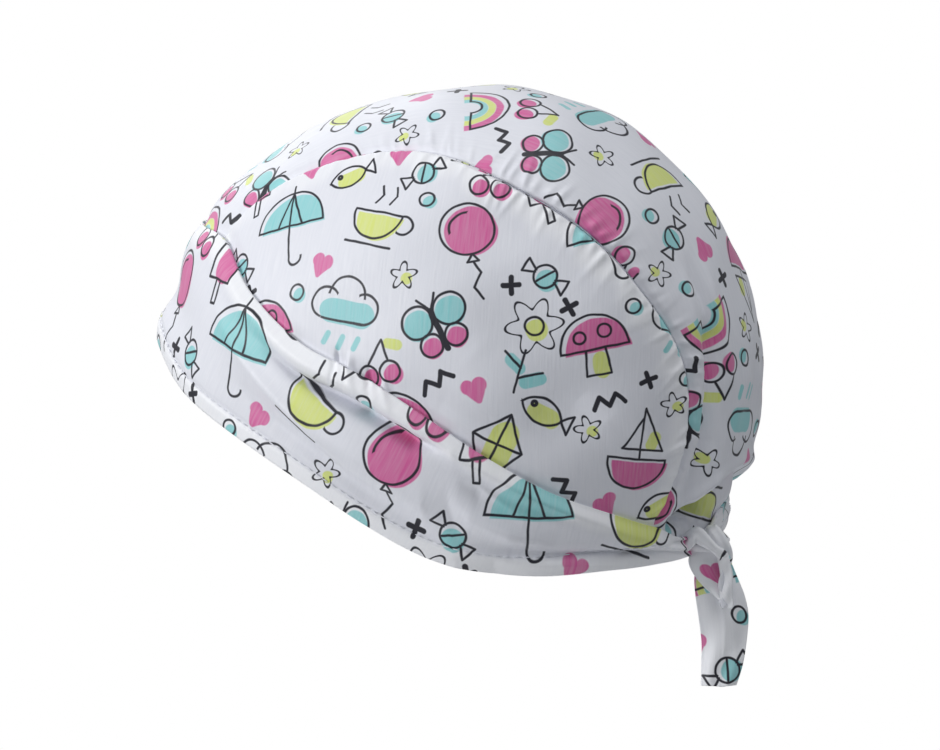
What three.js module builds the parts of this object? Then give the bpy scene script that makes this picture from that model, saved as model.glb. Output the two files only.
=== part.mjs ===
// Bandana cap in its worn form: a centre crown panel, two side panels, a brow band whose two ends are
// tied at the nape, and the two tie ends hanging from the knot. Millimetres, +Z up, the face looks along
// -Y and the wearer's left is +X. The origin is the middle of the head at the height of the widest girth.
import * as THREE from 'three';
import { mergeVertices } from 'three/addons/utils/BufferGeometryUtils.js';

// Head-sized dome that the cloth lies on: half sizes from the origin
const HALF_WIDTH = 82;
const FRONT_REACH = 124.5;
const BACK_REACH = 93;
const CROWN_HEIGHT = 100.5;
const LOWER_REACH = 150;

// Cloth and sewing
const WALL = 1.2;
const SEAM_GAP = 0.3;
const LAP = 2;
const LAP_GAP = 0.65;
const TIE_WALL = 1.6;
// Degrees of turn left free at the tips of the side panels and at the two ends of the knot
const END_TURN = 0.5;

// How finely each piece is divided
const CROWN_ROWS = 42;
const FLAP_ROWS = 6;
const CROWN_COLUMNS = 14;
const SIDE_COLUMNS = 9;
const BAND_STEPS = 104;
const BAND_ROWS = 8;
const EDGE_HALVINGS = 40;
const JOIN_REACH = 1e-4;

// Angles from the brow over the top, in degrees: the round part of the crown's middle line and the nape
const LINE_FROM = 14;
const LINE_TO = 176;
const LINE_STEP = 9;
const NAPE_ALPHA = 205;

// Half width of the crown panel: alpha is the angle from the brow over the top, in degrees
const SEAM = [
  { alpha: 20, half: 47.5 },
  { alpha: 40, half: 43 },
  { alpha: 60, half: 44.5 },
  { alpha: 80, half: 47.5 },
  { alpha: 105, half: 54 },
  { alpha: 125, half: 53.5 },
  { alpha: 150, half: 49 },
  { alpha: 175, half: 40.5 },
  { alpha: 195, half: 40.5 },
  { alpha: 215, half: 46.5 },
];

// Middle line of the crown below the widest point of the back, down to the tip of the flap
const NAPE = [
  { back: 92.2, z: -14 },
  { back: 90.4, z: -25 },
  { back: 88.6, z: -35 },
  { back: 86.8, z: -44 },
  { back: 83.6, z: -51 },
  { back: 80, z: -58 },
  { back: 80.4, z: -64.5 },
  { back: 86, z: -68.5 },
  { back: 92, z: -71 },
];

// Edges of the brow band by turn from the brow in degrees: height of the top edge and of the rim, and
// how far the strip stands out beyond its place over the panels
const BAND = [
  { turn: 0, top: 50.5, rim: 12, out: -0.9 },
  { turn: 15, top: 50.5, rim: 8.5, out: -0.9 },
  { turn: 30, top: 47.5, rim: -5.5, out: -0.4 },
  { turn: 45, top: 31, rim: -17.7, out: 0 },
  { turn: 60, top: 17, rim: -29.5, out: 0 },
  { turn: 75, top: 8.5, rim: -42, out: 0 },
  { turn: 90, top: -3.4, rim: -52, out: 0 },
  { turn: 105, top: -17, rim: -57.2, out: 0 },
  { turn: 120, top: -29.2, rim: -58.5, out: 0 },
  { turn: 135, top: -37.8, rim: -57, out: 0 },
  { turn: 148, top: -44.4, rim: -56.2, out: 0 },
  { turn: 160, top: -48.3, rim: -57, out: -4.6 },
  { turn: 180, top: -47.5, rim: -60, out: -4.1 },
  { turn: 200, top: -48, rim: -58, out: -4.4 },
];
const LEFT_END = 157;
const RIGHT_END = 191;

// Folds of the band, alike on both sides: turn in degrees from the brow, up is the share of the width
// from the rim to the top edge, spread in the same shares, lift outwards in mm
const BAND_FOLDS = [
  { turn0: 0, up0: 0.95, turn1: 130, up1: 0.95, spread: 0.07, lift: 1.2 },
  { turn0: 34, up0: 0.83, turn1: 66, up1: 0.79, spread: 0.07, lift: -2.4 },
  { turn0: 66, up0: 0.79, turn1: 96, up1: 0.84, spread: 0.07, lift: -2.4 },
  { turn0: 0, up0: 0.44, turn1: 24, up1: 0.44, spread: 0.22, lift: -3.2 },
  { turn0: 0, up0: 0.16, turn1: 40, up1: 0.16, spread: 0.12, lift: 0.6 },
  { turn0: 42, up0: 0.58, turn1: 60, up1: 0.51, spread: 0.1, lift: 1.8 },
  { turn0: 60, up0: 0.51, turn1: 80, up1: 0.25, spread: 0.1, lift: 1.8 },
  { turn0: 100, up0: 0.2, turn1: 146, up1: 0.3, spread: 0.14, lift: -1.8 },
];
const TURN_PER_WIDTH = 24;

// Gathers of the crown at the back, alike on both sides: x from the middle, z up, spread and lift in mm
const GATHERS = [
  { x0: 28.5, z0: 18, x1: 31.5, z1: -16, spread: 5, lift: -2.2 },
  { x0: 31.5, z0: -16, x1: 40, z1: -42, spread: 4, lift: -2.4 },
  { x0: 8, z0: 0, x1: 25, z1: -28, spread: 6, lift: 1.4 },
];

// The bag of the crown hangs over the tied ends: under this edge the cloth steps in
const BAG_EDGE_MIDDLE = -28;
const BAG_EDGE_SIDE = -43;
const BAG_SIDE = 40;
const BAG_STEP = 4.6;
const BAG_RUN = 5;
const BACK_LAP = 1.5;
const FLAP_HALF = 12;
const FLAP_TIP_HALF = 3.6;
// Share of the panel's half width from which the gathers fade out towards the seam
const SEAM_FADE = 0.75;

// Knot: sections along the band from its left end to its right end, set off the band's middle line
const KNOT_CENTRE_DROP = 0.5;
const KNOT_SECTIONS = [
  { along: 0, tall: 4.2, deep: 1.4, out: 1.2, tilt: 0 },
  { along: 0.14, tall: 5.4, deep: 3, out: 2.4, tilt: 12 },
  { along: 0.34, tall: 7.4, deep: 5, out: 4, tilt: 24 },
  { along: 0.52, tall: 7.8, deep: 5.4, out: 4.6, tilt: 32 },
  { along: 0.7, tall: 7, deep: 4.8, out: 4.2, tilt: 24 },
  { along: 0.88, tall: 5.8, deep: 3, out: 2.6, tilt: 12 },
  { along: 1, tall: 5, deep: 1.4, out: 1.4, tilt: 0 },
];
const KNOT_STEPS = 18;
const KNOT_SIDES = 16;
const KNOT_WAIST = 0.22;
const KNOT_WAIST_SPREAD = 0.35;

// Tie ends: middle line going down, half width, and the turn of the strip's face from the wearer's left
const LONG_TAIL = [
  { x: 22, y: 81.6, z: -60.6, half: 5.5, face: 20 },
  { x: 21.5, y: 86, z: -68, half: 7.6, face: 18 },
  { x: 21, y: 88.2, z: -76, half: 8.4, face: 16 },
  { x: 20.5, y: 88.8, z: -87, half: 8.4, face: 20 },
  { x: 20, y: 88, z: -96, half: 8.2, face: 32 },
  { x: 20, y: 87, z: -103.5, half: 8, face: 42 },
];
const SHORT_TAIL = [
  { x: 27.5, y: 81, z: -60.6, half: 5, face: 16 },
  { x: 28.5, y: 85.2, z: -64.5, half: 5.6, face: 14 },
  { x: 28.5, y: 88.4, z: -69, half: 4, face: 14 },
  { x: 28, y: 90.6, z: -72.5, half: 2, face: 18 },
  { x: 27.5, y: 91.6, z: -74.5, half: 0.8, face: 20 },
];
const TAIL_STEPS = 16;
const TAIL_COLUMNS = 6;
const TAIL_CUP = 1.4;

// Finish of the cloth: white satin-faced cotton
const CLOTH_COLOUR = 0xe9ecf2;
const CLOTH_ROUGHNESS = 0.6;

const radians = THREE.MathUtils.degToRad;
const { lerp, smoothstep, clamp } = THREE.MathUtils;

// A smooth curve through one column of a table, as a function of the key column
function column(table, key, name) {
  const keys = table.map((row) => row[key]);
  const values = table.map((row) => row[name]);
  const curve = new THREE.CubicInterpolant(keys, values, 1);
  return (at) => curve.evaluate(clamp(at, keys[0], keys[keys.length - 1]))[0];
}

const seamHalf = column(SEAM, 'alpha', 'half');
const bandTop = column(BAND, 'turn', 'top');
const bandRim = column(BAND, 'turn', 'rim');
const bandOut = column(BAND, 'turn', 'out');

const reachAt = (y) => (y < 0 ? FRONT_REACH : BACK_REACH);
const heightAt = (z) => (z < 0 ? LOWER_REACH : CROWN_HEIGHT);

// Direction out of the dome at a point
function outward(point) {
  const normal = new THREE.Vector3(
    point.x / HALF_WIDTH ** 2,
    point.y / reachAt(point.y) ** 2,
    point.z / heightAt(point.z) ** 2,
  );
  return normal.normalize();
}

// Point of the dome at a turn from the brow and a height
function domeRound(turn, z) {
  const angle = radians(turn);
  const across = Math.sin(angle) / HALF_WIDTH;
  const along = Math.cos(angle) / reachAt(-Math.cos(angle));
  const radius = Math.sqrt(1 - (z / heightAt(z)) ** 2) / Math.hypot(across, along);
  return new THREE.Vector3(radius * Math.sin(angle), -radius * Math.cos(angle), z);
}

// Half width of the dome at a point seen from the side
function domeSide(y, z) {
  const rest = 1 - (y / reachAt(y)) ** 2 - (z / heightAt(z)) ** 2;
  return HALF_WIDTH * Math.sqrt(Math.max(rest, 0));
}

const turnOf = (point) => THREE.MathUtils.radToDeg(Math.atan2(point.x, -point.y));

// Share of a fold's lift at a point: full on the line from start to end, fading away over the spread
function foldShare(u, v, start, end, spread) {
  const [du, dv] = [end[0] - start[0], end[1] - start[1]];
  const along = clamp(((u - start[0]) * du + (v - start[1]) * dv) / (du * du + dv * dv), 0, 1);
  const away = Math.hypot(u - start[0] - along * du, v - start[1] - along * dv);
  return Math.exp(-((away / spread) ** 2));
}

// Lift of a set of folds: the highest ridge and the deepest valley there, so that joined rows run on
function foldLift(lifts) {
  return Math.max(0, ...lifts) + Math.min(0, ...lifts);
}

// Closed cloth wall between a grid of outer points and the same points moved in by the wall
function clothWall(grid, wall, normalAt) {
  const rows = grid.length;
  const columns = grid[0].length;
  const outer = grid.flat();
  const inner = outer.map((point) => point.clone().addScaledVector(normalAt(point), -wall));
  const at = (side, i, j) => side * rows * columns + i * columns + j;
  const index = [];
  const quad = (a, b, c, d) => index.push(a, b, c, a, c, d);
  for (let i = 0; i < rows - 1; i += 1) {
    for (let j = 0; j < columns - 1; j += 1) {
      quad(at(0, i, j), at(0, i, j + 1), at(0, i + 1, j + 1), at(0, i + 1, j));
      quad(at(1, i, j), at(1, i + 1, j), at(1, i + 1, j + 1), at(1, i, j + 1));
    }
  }
  for (let j = 0; j < columns - 1; j += 1) {
    quad(at(0, 0, j), at(1, 0, j), at(1, 0, j + 1), at(0, 0, j + 1));
    quad(at(0, rows - 1, j), at(0, rows - 1, j + 1), at(1, rows - 1, j + 1), at(1, rows - 1, j));
  }
  for (let i = 0; i < rows - 1; i += 1) {
    quad(at(0, i, 0), at(0, i + 1, 0), at(1, i + 1, 0), at(1, i, 0));
    quad(at(0, i, columns - 1), at(1, i, columns - 1), at(1, i + 1, columns - 1), at(0, i + 1, columns - 1));
  }
  return closedGeometry([...outer, ...inner], index);
}

// One closed body: points that coincide are joined and the flat triangles this leaves are dropped
function closedGeometry(points, index) {
  const loose = new THREE.BufferGeometry().setFromPoints(points);
  loose.setIndex(index);
  const joined = mergeVertices(loose, JOIN_REACH);
  const corners = Array.from(joined.index.array);
  const kept = [];
  for (let k = 0; k < corners.length; k += 3) {
    const [a, b, c] = corners.slice(k, k + 3);
    if (a !== b && b !== c && c !== a) {
      kept.push(a, b, c);
    }
  }
  joined.setIndex(kept);
  joined.computeVertexNormals();
  return joined;
}

// Middle line of the crown from the brow over the top and down the nape
const middleLine = (() => {
  const points = [];
  for (let alpha = LINE_FROM; alpha <= LINE_TO; alpha += LINE_STEP) {
    const angle = radians(alpha);
    const along = Math.cos(angle) / reachAt(-Math.cos(angle));
    const radius = 1 / Math.hypot(along, Math.sin(angle) / CROWN_HEIGHT);
    points.push(new THREE.Vector2(-radius * Math.cos(angle), radius * Math.sin(angle)));
  }
  NAPE.forEach((row) => points.push(new THREE.Vector2(row.back, row.z)));
  return new THREE.SplineCurve(points);
})();

// Outer face of the crown: t along the middle line, side from -1 to 1 across the panel
function crownPoint(t, side) {
  const middle = middleLine.getPoint(t);
  const alpha = (THREE.MathUtils.radToDeg(Math.atan2(middle.y, -middle.x)) + 360) % 360;
  const x = side * (seamHalf(alpha) - SEAM_GAP / 2);
  const shrink = Math.sqrt(1 - (x / HALF_WIDTH) ** 2);
  const point = new THREE.Vector3(x, middle.x * shrink, middle.y * shrink);
  if (point.y > 0) {
    const clearOfSeam = 1 - smoothstep(Math.abs(side), SEAM_FADE, 1);
    point.addScaledVector(outward(point), clearOfSeam * backLift(point.x, point.z));
  }
  return point;
}

// Gathers and the overhanging bag at the back of the crown
function backLift(x, z) {
  const aside = Math.abs(x);
  const bagEdge = lerp(BAG_EDGE_MIDDLE, BAG_EDGE_SIDE, (aside / BAG_SIDE) ** 2);
  const step = -BAG_STEP * smoothstep(bagEdge - z, 0, BAG_RUN);
  return step + foldLift(GATHERS.map((row) => (
    row.lift * foldShare(aside, z, [row.x0, row.z0], [row.x1, row.z1], row.spread)
  )));
}

// Where along the middle line one column of the crown ends behind the band, sought from the top of the
// crown towards one end of the line
function crownEnd(side, end) {
  let inside = 0.5;
  let beyond = end;
  for (let n = 0; n < EDGE_HALVINGS; n += 1) {
    const t = (inside + beyond) / 2;
    const point = crownPoint(t, side);
    if (point.z > bandTop(Math.abs(turnOf(point))) - (point.y < 0 ? LAP : BACK_LAP)) {
      inside = t;
    } else {
      beyond = t;
    }
  }
  return inside;
}

// One column of the crown: rows from the band at the brow to the band at the nape, then the flap's own
// rows, which close up on one point where the column lies beside the flap
function crownColumn(side) {
  const front = crownEnd(side, 0);
  const nape = crownEnd(side, 1);
  const aside = Math.abs(side) * seamHalf(NAPE_ALPHA);
  const flapShare = 1 - smoothstep(aside, FLAP_TIP_HALF, FLAP_HALF);
  const tip = lerp(nape, 1, flapShare);
  const points = [];
  for (let i = 0; i <= CROWN_ROWS; i += 1) {
    points.push(crownPoint(lerp(front, nape, i / CROWN_ROWS), side));
  }
  for (let i = 1; i <= FLAP_ROWS; i += 1) {
    points.push(crownPoint(lerp(nape, tip, i / FLAP_ROWS), side));
  }
  return points;
}

const crownColumns = [];
for (let j = 0; j <= CROWN_COLUMNS; j += 1) {
  crownColumns.push(crownColumn((2 * j) / CROWN_COLUMNS - 1));
}
const crownGrid = crownColumns[0].map((_, i) => crownColumns.map((points) => points[i]));

// Side panel between the crown's seam and the lap behind the band, worked out for the wearer's left
function sideGrid(mirror) {
  const seam = crownColumns[CROWN_COLUMNS].slice(0, CROWN_ROWS + 1);
  const lengths = [0];
  for (let i = 1; i < seam.length; i += 1) {
    lengths.push(lengths[i - 1] + seam[i].distanceTo(seam[i - 1]));
  }
  const firstTurn = turnOf(seam[0]) + END_TURN;
  const lastTurn = turnOf(seam[seam.length - 1]) - END_TURN;
  return seam.map((edge, i) => {
    const share = lengths[i] / lengths[lengths.length - 1];
    const turn = lerp(firstTurn, lastTurn, share);
    const foot = domeRound(turn, bandTop(turn) - LAP);
    const sunk = edge.x - domeSide(edge.y, edge.z);
    const row = [];
    for (let j = 0; j <= SIDE_COLUMNS; j += 1) {
      const up = (j / SIDE_COLUMNS) * (1 - SEAM_GAP / Math.max(edge.distanceTo(foot), SEAM_GAP));
      const y = lerp(foot.y, edge.y, up);
      const z = lerp(foot.z, edge.z, up);
      const x = domeSide(y, z) + sunk * up * up;
      row.push(new THREE.Vector3(mirror * x, y, z));
    }
    return mirror > 0 ? row.reverse() : row;
  });
}

// Outer face of the brow band
function bandPoint(turn, up) {
  const around = Math.abs(turn);
  const round = around / TURN_PER_WIDTH;
  const folds = foldLift(BAND_FOLDS.map((row) => row.lift * foldShare(
    round, up, [row.turn0 / TURN_PER_WIDTH, row.up0], [row.turn1 / TURN_PER_WIDTH, row.up1], row.spread,
  )));
  const point = domeRound(turn, lerp(bandRim(around), bandTop(around), up));
  return point.addScaledVector(outward(point), WALL + LAP_GAP + bandOut(around) + folds);
}

const bandGrid = [];
for (let i = 0; i <= BAND_STEPS; i += 1) {
  const turn = lerp(-RIGHT_END, LEFT_END, i / BAND_STEPS);
  const row = [];
  for (let j = 0; j <= BAND_ROWS; j += 1) {
    row.push(bandPoint(turn, j / BAND_ROWS));
  }
  bandGrid.push(row.reverse());
}

// Closed body through rings of points, with flat ends
function loft(rings) {
  const sides = rings[0].length;
  const points = rings.flat();
  const index = [];
  for (let i = 0; i < rings.length - 1; i += 1) {
    for (let j = 0; j < sides; j += 1) {
      const next = (j + 1) % sides;
      const a = i * sides + j;
      const b = i * sides + next;
      index.push(a, b + sides, b, a, a + sides, b + sides);
    }
  }
  [0, rings.length - 1].forEach((ring) => {
    const middle = new THREE.Vector3();
    rings[ring].forEach((point) => middle.addScaledVector(point, 1 / sides));
    points.push(middle);
    for (let j = 0; j < sides; j += 1) {
      const a = ring * sides + j;
      const b = ring * sides + ((j + 1) % sides);
      index.push(points.length - 1, ...(ring === 0 ? [a, b] : [b, a]));
    }
  });
  return closedGeometry(points, index);
}

// Knot of the two band ends, set between them with a seam gap at each side
function knotGeometry() {
  const fromTurn = LEFT_END + END_TURN;
  const toTurn = 360 - RIGHT_END - END_TURN;
  const tall = column(KNOT_SECTIONS, 'along', 'tall');
  const deep = column(KNOT_SECTIONS, 'along', 'deep');
  const out = column(KNOT_SECTIONS, 'along', 'out');
  const tilt = column(KNOT_SECTIONS, 'along', 'tilt');
  const rings = [];
  for (let i = 0; i <= KNOT_STEPS; i += 1) {
    const along = i / KNOT_STEPS;
    const turn = lerp(fromTurn, toTurn, along);
    const middle = bandPoint(turn, 0.5);
    middle.z -= KNOT_CENTRE_DROP;
    const off = outward(middle).setZ(0).normalize();
    middle.addScaledVector(off, out(along) - WALL);
    const lean = radians(tilt(along));
    const ring = [];
    for (let j = 0; j < KNOT_SIDES; j += 1) {
      const angle = (2 * Math.PI * j) / KNOT_SIDES;
      const waistShare = Math.exp(-((Math.sin(angle - lean) / KNOT_WAIST_SPREAD) ** 2));
      const waist = 1 - KNOT_WAIST * waistShare * Math.sin(Math.PI * along);
      const point = middle.clone().addScaledVector(off, deep(along) * Math.cos(angle) * waist);
      point.z += tall(along) * Math.sin(angle);
      ring.push(point);
    }
    rings.push(ring);
  }
  return loft(rings);
}

// Tie end: a strip along its middle line, slightly cupped across
function tailGeometry(table) {
  const line = new THREE.CatmullRomCurve3(table.map((row) => new THREE.Vector3(row.x, row.y, row.z)));
  const keyed = table.map((row, k) => ({ ...row, at: k / (table.length - 1) }));
  const half = column(keyed, 'at', 'half');
  const face = column(keyed, 'at', 'face');
  const grid = [];
  for (let i = 0; i <= TAIL_STEPS; i += 1) {
    const at = i / TAIL_STEPS;
    const turn = radians(face(at));
    const out = new THREE.Vector3(Math.cos(turn), Math.sin(turn), 0);
    const across = new THREE.Vector3(-Math.sin(turn), Math.cos(turn), 0);
    const row = [];
    for (let j = 0; j <= TAIL_COLUMNS; j += 1) {
      const share = 1 - (2 * j) / TAIL_COLUMNS;
      const point = line.getPoint(at).addScaledVector(across, share * half(at));
      row.push(point.addScaledVector(out, TAIL_CUP * (1 - share * share)));
    }
    grid.push(row);
  }
  const middleFace = radians(face(0.5));
  const normal = new THREE.Vector3(Math.cos(middleFace), Math.sin(middleFace), 0);
  return clothWall(grid, TIE_WALL, () => normal);
}

function piece(name, geometry) {
  const finish = new THREE.MeshStandardMaterial({
    color: CLOTH_COLOUR,
    roughness: CLOTH_ROUGHNESS,
    metalness: 0,
  });
  const mesh = new THREE.Mesh(geometry, finish);
  mesh.name = name;
  return mesh;
}

const panels = new THREE.Group();
panels.add(
  piece('crown_panel', clothWall(crownGrid, WALL, outward)),
  piece('side_panel_left', clothWall(sideGrid(1), WALL, outward)),
  piece('side_panel_right', clothWall(sideGrid(-1), WALL, outward)),
);

const ties = new THREE.Group();
ties.add(
  piece('brow_band', clothWall(bandGrid, WALL, outward)),
  piece('tie_knot', knotGeometry()),
  piece('tie_tail_long', tailGeometry(LONG_TAIL)),
  piece('tie_tail_short', tailGeometry(SHORT_TAIL)),
);

const cap = new THREE.Group();
cap.add(panels, ties);

export default cap;
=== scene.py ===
"""Bandana cap in its worn form: the finished cloth of every piece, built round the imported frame."""

import math
from collections import namedtuple

import bmesh
import bpy
import numpy as np
from mathutils import Matrix, Vector


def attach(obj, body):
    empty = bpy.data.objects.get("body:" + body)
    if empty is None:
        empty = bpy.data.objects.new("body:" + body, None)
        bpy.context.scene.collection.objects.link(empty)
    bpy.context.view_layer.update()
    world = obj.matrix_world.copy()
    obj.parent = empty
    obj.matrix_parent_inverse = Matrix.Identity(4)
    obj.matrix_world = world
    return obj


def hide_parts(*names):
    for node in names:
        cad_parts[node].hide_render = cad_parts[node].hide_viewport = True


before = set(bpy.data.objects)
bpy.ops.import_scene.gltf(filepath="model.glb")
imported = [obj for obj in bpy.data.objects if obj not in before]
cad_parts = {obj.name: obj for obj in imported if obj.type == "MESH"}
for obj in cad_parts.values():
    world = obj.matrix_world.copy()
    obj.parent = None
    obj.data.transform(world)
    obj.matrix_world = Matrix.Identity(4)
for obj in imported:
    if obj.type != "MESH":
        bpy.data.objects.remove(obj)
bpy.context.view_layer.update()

# Lengths are in millimetres, as in the part's source, until a mesh or a light is made
MM = 0.001

# Photograph's frame in pixels, and the view that it was taken from
FRAME_WIDE = 940
FRAME_HIGH = 750
ORIGIN_ACROSS = 496.5
ORIGIN_DOWN = 370
PIXELS_PER_MM = 2.83
VIEW_AZIMUTH = math.radians(108)
VIEW_ELEVATION = math.radians(8)
CAMERA_AWAY = 1200
SENSOR_WIDE = 36
TO_CAMERA = Vector((
    math.sin(VIEW_AZIMUTH) * math.cos(VIEW_ELEVATION),
    -math.cos(VIEW_AZIMUTH) * math.cos(VIEW_ELEVATION),
    math.sin(VIEW_ELEVATION),
))
IMAGE_RIGHT = Vector((math.cos(VIEW_AZIMUTH), math.sin(VIEW_AZIMUTH), 0))
IMAGE_UP = TO_CAMERA.cross(IMAGE_RIGHT)

# Head-sized dome that the cloth lies on: half sizes from the origin
HALF_WIDTH = 82
FRONT_REACH = 124.5
BACK_REACH = 93
CROWN_HEIGHT = 100.5
LOWER_REACH = 150

# Cloth and sewing
WALL = 1.2
LAP = 5
LAP_GAP = 0.65
TUCK_GAP = 0.3
TUCK_RUN = 6
END_TURN = 0.5
HEM = 6.5
HEM_HIGHEST = 0.5
STITCH_LONG = 2.3
STITCH_STEP = 3.4
STITCH_THICK = 0.42
STITCH_RAISE = 0.2
STITCH_STEPS = 7
STITCH_SIDES = 8
STITCH_END = 0.94

# Where the cloth lies double, and how softly it ends there: seam turnings, rolled top edge and hem
SEAM_TURNING = 7
SEAM_TURNING_EDGE = 3.2
ROLL_TURNING = 8
ROLL_TURNING_EDGE = 2.5
HEM_EDGE = 0.8

# How finely each piece is divided
CROWN_ROWS = 420
FLAP_ROWS = 24
CROWN_COLUMNS = 104
SIDE_COLUMNS = 100
BAND_STEPS = 700
BAND_ROWS = 64
EDGE_HALVINGS = 40
LINE_SAMPLES = 2001
HEM_SAMPLES = 4001
# Columns crowd towards the seam, where the puckers are
CROWN_CROWDING = 0.45
SIDE_CROWDING = 1.35
# Points nearer than this, in metres, are one
MERGE = 1e-7


def table(columns, *rows):
    """A short table: one tuple a row, read by the names of its columns."""
    row_of = namedtuple("Row", columns)
    return [row_of(*row) for row in rows]


# Angles from the brow over the top, in degrees: the round part of the crown's middle line, and the nape
LINE_FROM = 14
LINE_TO = 176
LINE_STEP = 9
NAPE_ALPHA = 205

# Half width of the crown panel by the angle from the brow over the top
SEAM = table(
    "alpha half",
    (20, 47.5),
    (40, 43),
    (60, 44.5),
    (80, 47.5),
    (105, 54),
    (125, 53.5),
    (150, 49),
    (175, 40.5),
    (195, 40.5),
    (215, 46.5),
)

# Middle line of the crown below the widest point of the back, down to the tip of the flap
NAPE = table(
    "back z",
    (92.2, -14),
    (90.4, -25),
    (88.6, -35),
    (86.8, -44),
    (83.6, -51),
    (80, -58),
    (80.4, -64.5),
    (86, -68.5),
    (92, -71),
)

# Brow band by turn from the brow in degrees: heights of top edge and rim, and how far it stands out
BAND = table(
    "turn top rim out",
    (0, 50.5, 12, -0.9),
    (15, 50.5, 8.5, -0.9),
    (30, 47.5, -5.5, -0.4),
    (45, 31, -17.7, 0),
    (60, 17, -29.5, 0),
    (75, 8.5, -42, 0),
    (90, -3.4, -52, 0),
    (105, -17, -57.2, 0),
    (120, -29.2, -58.5, 0),
    (135, -37.8, -57, 0),
    (148, -44.4, -56.2, 0),
    (160, -48.3, -57, -4.8),
    (168, -48.2, -58.5, -7.4),
    (180, -47.5, -60, -7.4),
    (200, -48, -58, -5),
)
LEFT_END = 161.5
RIGHT_END = 194.5


def fold(spread, *line):
    """One fold of the cloth: its spread, and the points of its line, each two places and a lift."""
    return spread, line


# Broad folds of the band: turn in degrees from the brow, share of the width from the rim, lift
BAND_FOLDS = [
    fold(
        0.06,
        *((46, 0.8, 0), (56, 0.76, -1.6), (66, 0.77, -3.4)),
        *((76, 0.77, -4), (88, 0.78, -3), (98, 0.88, 0)),
    ),
    fold(
        0.15,
        *((34, 0.66, 0), (46, 0.58, 1.6), (60, 0.5, 2.8)),
        *((75, 0.44, 3), (90, 0.39, 2.4), (98, 0.37, 0)),
    ),
    fold(
        0.09,
        *((42, 0.4, 0), (54, 0.33, -1.6), (66, 0.3, -2.4)),
        *((76, 0.25, -2.4), (88, 0.22, -1.8), (97, 0.2, 0)),
    ),
    fold(0.22, (0, 0.44, -3.2), (20, 0.44, -3.2), (34, 0.44, 0)),
    fold(0.12, (0, 0.16, 0.6), (30, 0.16, 0.6), (45, 0.16, 0)),
    fold(0.1, (99, 0.67, 0), (104, 0.66, -1.4), (114, 0.6, 0)),
    fold(0.09, (96, 0.5, 0), (102, 0.45, 1.8), (111, 0.4, 2), (122, 0.4, 0)),
    fold(0.09, (98, 0.8, 0), (107, 0.77, -1.6), (121, 0.77, -1.8), (136, 0.74, 0)),
    fold(0.16, (98, 0, 0), (108, 0, -2.2), (124, 0, -1.6), (140, 0, 0)),
    fold(0.14, (100, 0.2, 0), (112, 0.22, -1.5), (146, 0.3, -1.8), (158, 0.36, 0)),
]
TURN_PER_WIDTH = 24

# Gathers of the crown at the back: x from the middle, z up, lift
GATHERS = [
    fold(5, (28.5, 18, -2.2), (31.5, -16, -2.2)),
    fold(4, (31.5, -16, -2.4), (40, -42, -2.4)),
    fold(6, (8, 0, 1.4), (25, -28, 1.4)),
]
BAG_EDGE_MIDDLE = -28
BAG_EDGE_SIDE = -43
BAG_SIDE = 40
BAG_STEP = 4.6
BAG_RUN = 5
FLAP_HALF = 12
FLAP_TIP_HALF = 3.6
SEAM_FADE = 0.75


def smoothstep(value, low, high):
    share = np.clip((value - low) / (high - low), 0, 1)
    return share * share * (3 - 2 * share)


def lerp(start, end, share):
    return start + (end - start) * share


def column(rows, key, name, at):
    """Smooth run of one column of a table, level past both of its ends."""
    keys = np.array([getattr(row, key) for row in rows], float)
    values = np.array([getattr(row, name) for row in rows], float)
    secants = np.diff(values) / np.diff(keys)
    slopes = np.concatenate([secants[:1], (secants[:-1] + secants[1:]) / 2, secants[-1:]])
    at = np.clip(at, keys[0], keys[-1])
    i = np.clip(np.searchsorted(keys, at) - 1, 0, len(keys) - 2)
    width = keys[i + 1] - keys[i]
    share = (at - keys[i]) / width
    rest = 1 - share
    ends = values[i] * (1 + 2 * share) * rest**2 + values[i + 1] * share**2 * (3 - 2 * share)
    return ends + width * share * rest * (slopes[i] * rest - slopes[i + 1] * share)


def spline(points, at):
    """Even curve through a list of points, at shares from 0 to 1 of its length in points."""
    points = np.asarray(points, float)
    last = len(points) - 1
    place = np.clip(np.asarray(at, float), 0, 1) * last
    i = np.minimum(place.astype(int), last - 1)
    share = (place - i)[..., None]
    before, start, end, after = (points[np.clip(i + step, 0, last)] for step in (-1, 0, 1, 2))
    slope0 = (end - before) / 2
    slope1 = (after - start) / 2
    cubic = 2 * (start - end) + slope0 + slope1
    square = 3 * (end - start) - 2 * slope0 - slope1
    return ((cubic * share + square) * share + slope0) * share + start


def doubled(away, width, edge):
    """1 where the cloth lies double, up to a width from its folded edge."""
    return 1 - smoothstep(away, width - edge, width + edge)


def lengths_along(points):
    """Running length along a line of points."""
    steps = np.linalg.norm(np.diff(points, axis=0), axis=-1)
    return np.concatenate([[0], np.cumsum(steps)])


def fold_lift(u, v, folds, u_size=1):
    """Lift of a set of folds at a place: the highest ridge and the deepest valley there."""
    ridge = np.zeros(np.broadcast(u, v).shape)
    valley = np.zeros_like(ridge)
    for spread, line in folds:
        for (u0, v0, lift0), (u1, v1, lift1) in zip(line, line[1:]):
            du = (u1 - u0) / u_size
            dv = v1 - v0
            from_u = (u - u0) / u_size
            from_v = v - v0
            along = np.clip((from_u * du + from_v * dv) / (du * du + dv * dv), 0, 1)
            away = np.hypot(from_u - along * du, from_v - along * dv)
            here = lerp(lift0, lift1, along) * np.exp(-((away / spread) ** 2))
            ridge = np.maximum(ridge, here)
            valley = np.minimum(valley, here)
    return ridge + valley


# The dome

def reach(y):
    return np.where(y < 0, FRONT_REACH, BACK_REACH)


def height(z):
    return np.where(z < 0, LOWER_REACH, CROWN_HEIGHT)


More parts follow.
